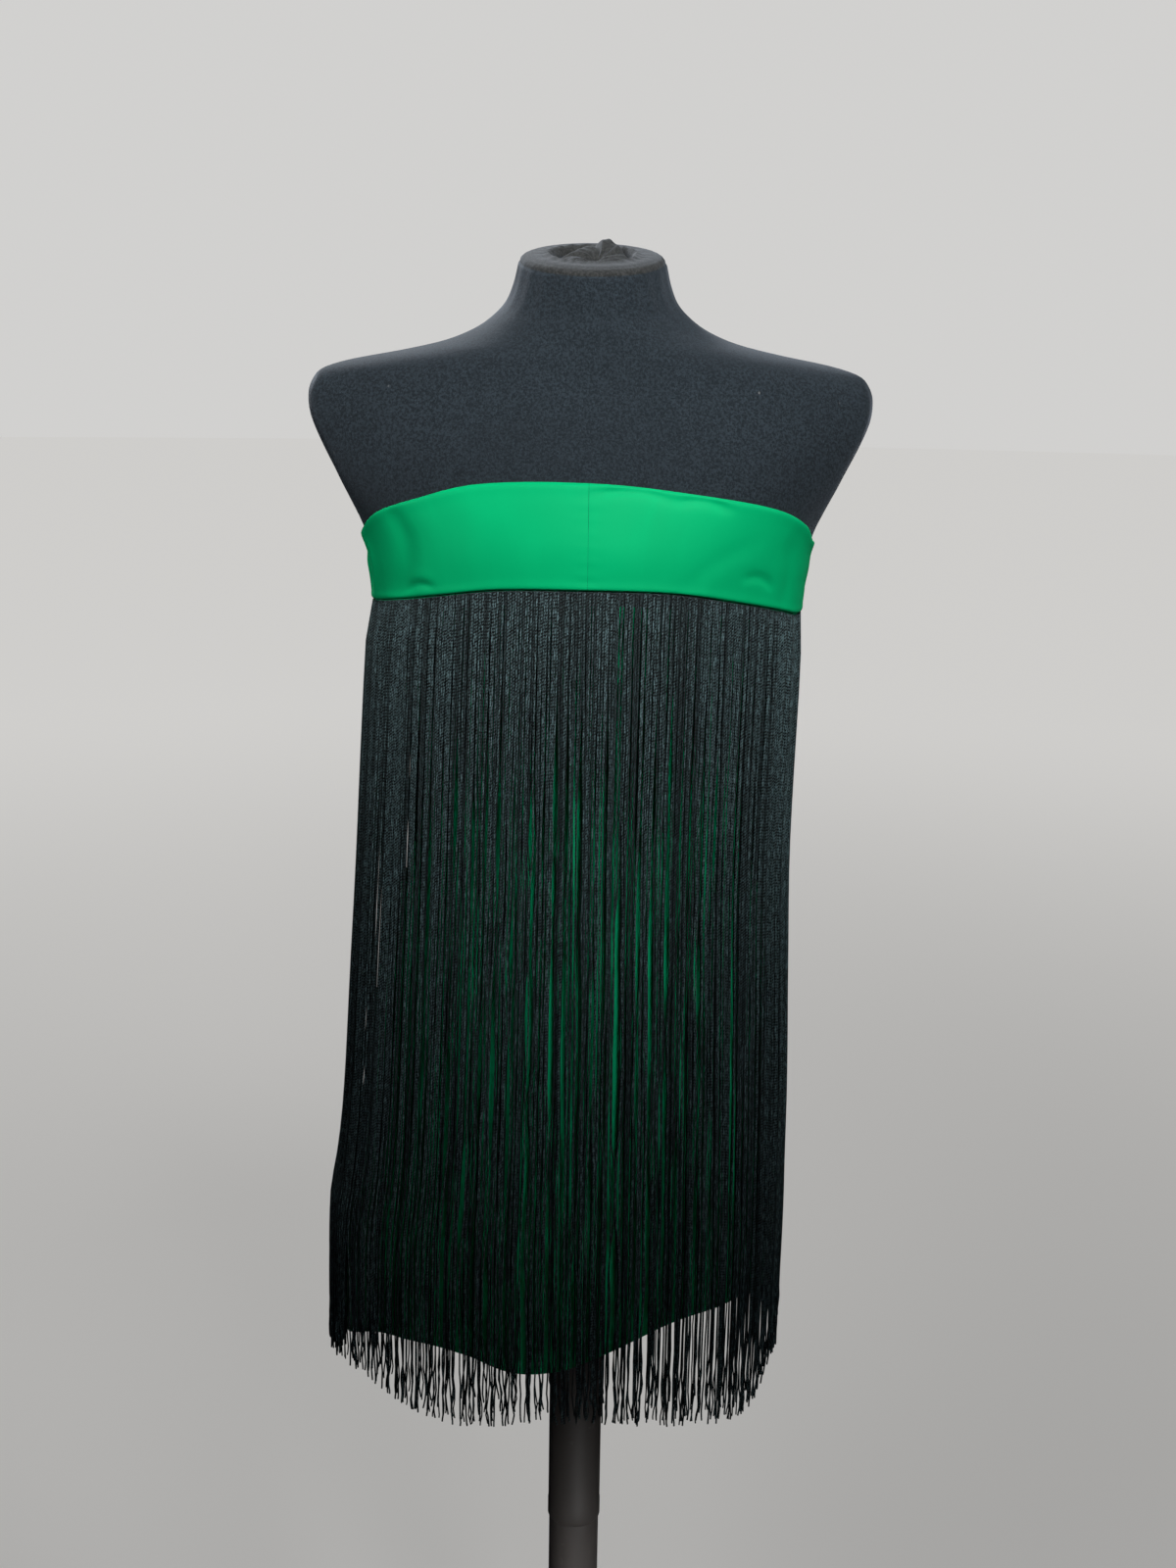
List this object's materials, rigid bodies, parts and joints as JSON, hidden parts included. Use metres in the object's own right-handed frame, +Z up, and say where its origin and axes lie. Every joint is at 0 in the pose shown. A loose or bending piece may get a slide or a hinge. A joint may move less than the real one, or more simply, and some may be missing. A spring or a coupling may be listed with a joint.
{
  "type": "strapless fringe dress on a limbless dress form with a pole stand",
  "caption": "Strapless mini dress with a folded satin bust band and long rope fringe over an A-line slip, worn by a jersey-covered dress form on a pole stand.",
  "frame": {"origin": "on the pole's axis at the underside of the round foot", "axes": "+Z up along the pole, -Y the way the dress faces, +X the side on the right in a front view"},
  "size_m": [0.393, 0.32, 1.4626],
  "materials": {
    "stand_metal": "satin powder coat",
    "form_jersey": "matt knit jersey",
    "band_satin": "matt-back stretch satin",
    "slip_satin": "glossy satin",
    "fringe_rope": "twisted rayon rope"
  },
  "bodies": {
    "root": {"base_plate": "stand_metal", "pole_lower": "stand_metal", "pole_upper": "stand_metal", "torso_form": "form_jersey", "neck_tuck": "form_jersey", "band_front_left": "band_satin", "band_front_right": "band_satin", "band_back": "band_satin", "slip_front": "slip_satin", "slip_back": "slip_satin", "fringe_front": "fringe_rope", "fringe_back": "fringe_rope"}
  },
  "joints": []
}
